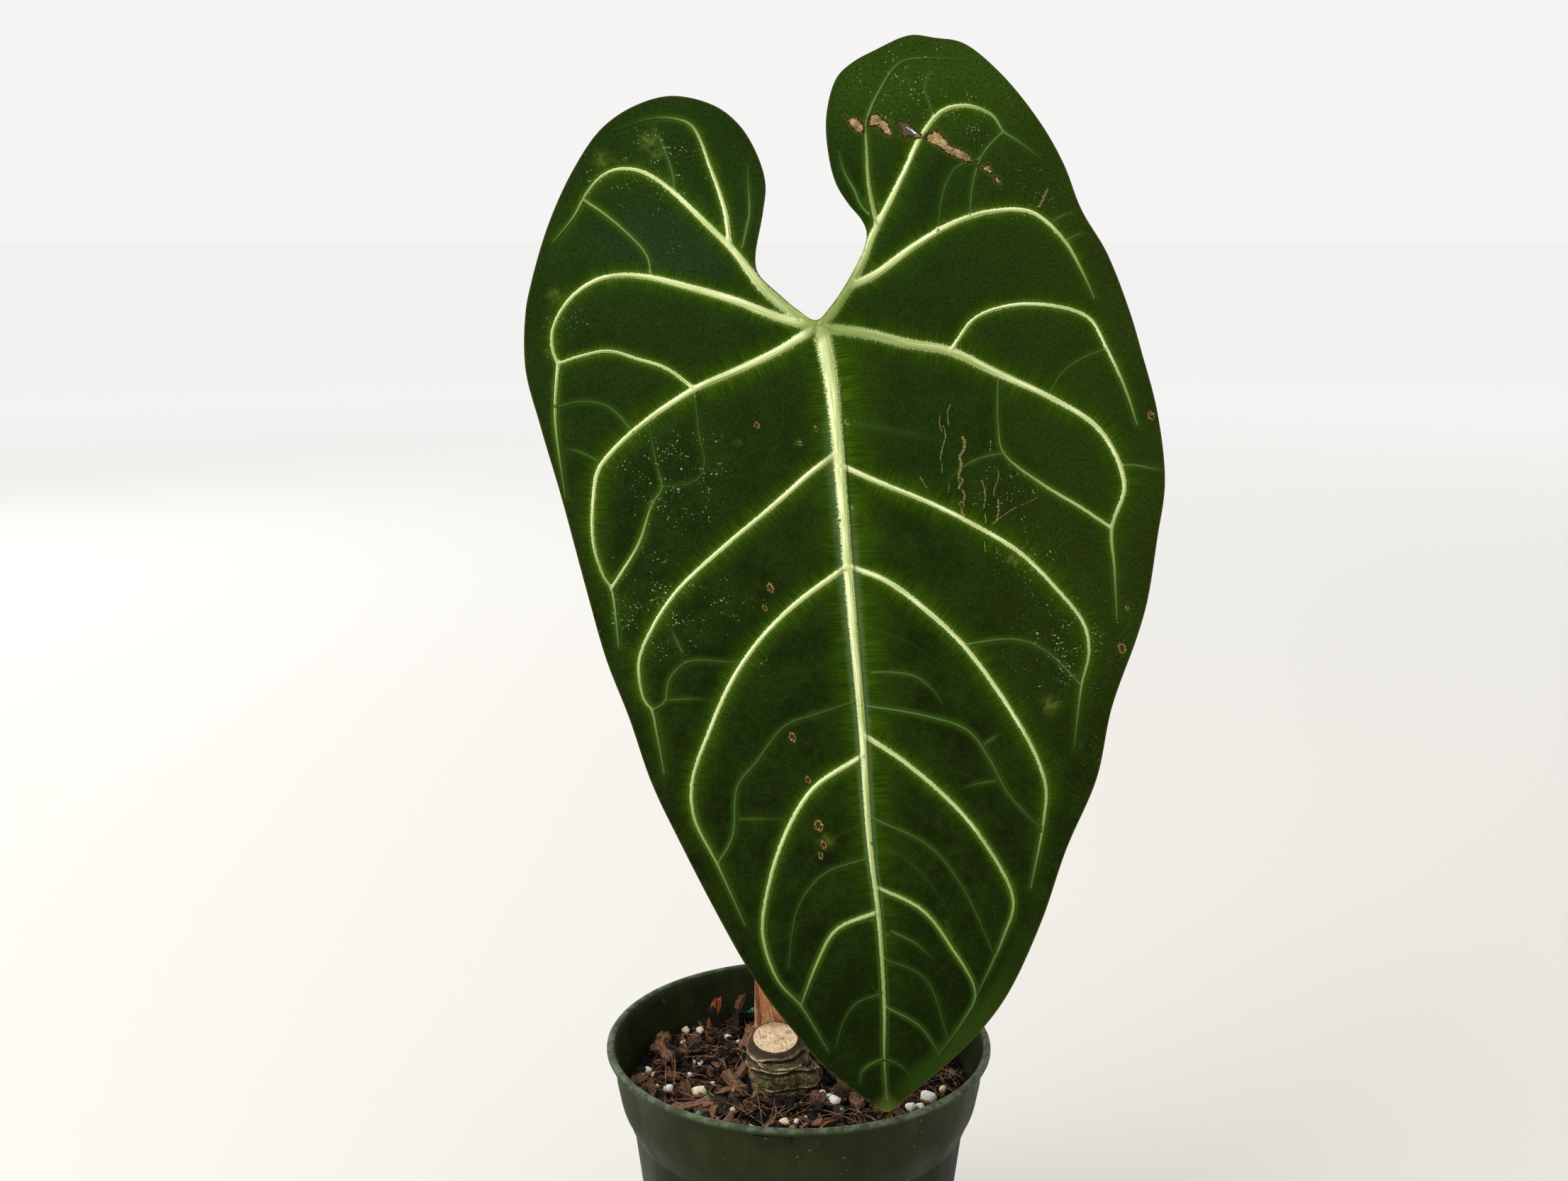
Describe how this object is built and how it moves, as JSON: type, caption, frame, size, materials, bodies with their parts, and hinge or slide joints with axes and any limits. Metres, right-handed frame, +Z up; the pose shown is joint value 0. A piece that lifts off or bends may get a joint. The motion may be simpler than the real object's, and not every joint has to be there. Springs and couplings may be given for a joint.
{
  "type": "potted anthurium regale",
  "caption": "Velvety heart-shaped aroid leaf with a pale raised vein net, on its stalk beside a cut-back stem, growing in bark mix in a round nursery pot.",
  "frame": {"origin": "middle of the underside of the pot", "axes": "+Z up, the leaf's face looks along -Y and leans back a little, +X to the right of someone who faces the leaf"},
  "size_m": [0.2583, 0.165, 0.5633],
  "materials": {
    "pot_plastic": "dark green moulded plastic, worn grey-green on the lip",
    "potting_mix": "dark damp bark and coco fibre with white perlite and small prills",
    "stem_bark": "ringed brown and olive bark with a cream cut face",
    "root_skin": "pale matt root skin",
    "dry_sheath": "dry papery orange-tan sheath with fine fibres",
    "stalk_skin": "smooth olive-green stalk",
    "leaf_velvet": "velvety dark green, brighter beside the veins",
    "leaf_vein": "pale yellow-green matt ribs"
  },
  "bodies": {
    "root": {"pot": "pot_plastic", "potting_mix": "potting_mix", "stem": "stem_bark", "roots": "root_skin", "cataphyll": "dry_sheath", "petiole": "stalk_skin", "leaf_blade": "leaf_velvet", "leaf_veins": "leaf_vein"}
  },
  "joints": []
}
